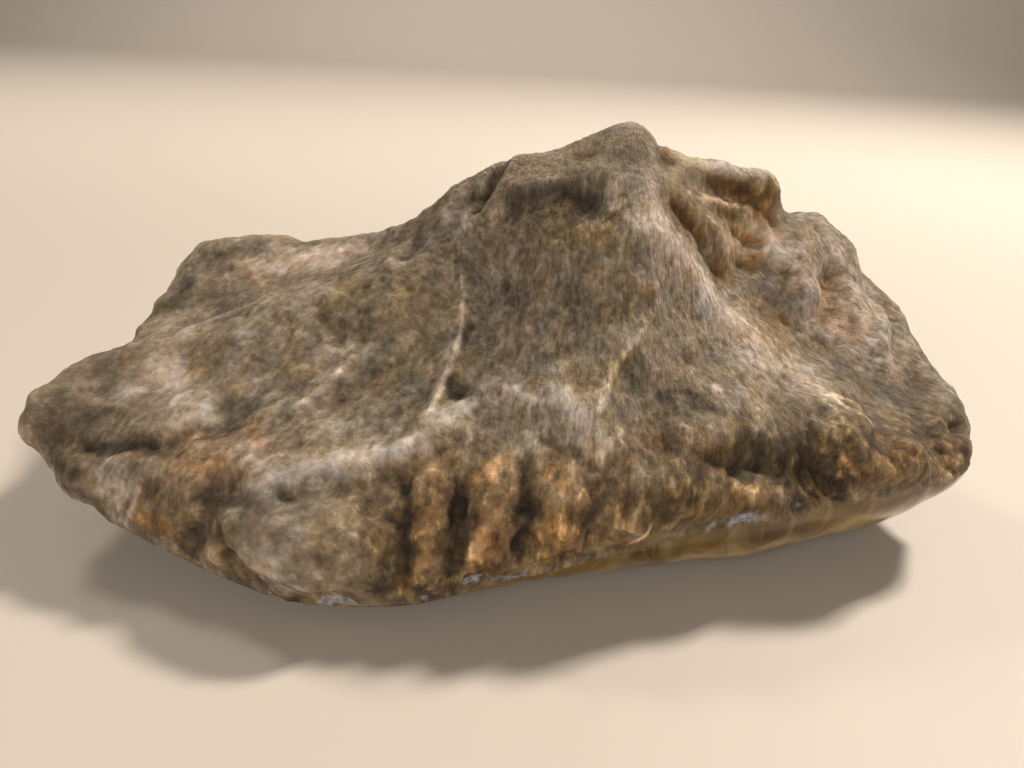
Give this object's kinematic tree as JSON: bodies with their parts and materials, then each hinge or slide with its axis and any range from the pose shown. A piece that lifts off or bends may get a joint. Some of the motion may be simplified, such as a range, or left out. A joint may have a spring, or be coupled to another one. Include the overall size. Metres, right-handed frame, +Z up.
{
  "type": "fossil coral",
  "caption": "Lump of fossil coral stone with a ridged, weathered top and sides and a polished convex underside it lies on.",
  "frame": {"origin": "centre of the bounding box seen from above, on the surface the stone lies on", "axes": "+X along the length, from the low tongue to the blunt end; +Y towards the back; +Z up"},
  "size_m": [0.1176, 0.0688, 0.0505],
  "materials": {
    "stone": "rough weathered stone, with a glossy ground and polished underside"
  },
  "bodies": {
    "root": {"fossil_coral": "stone"}
  },
  "joints": []
}
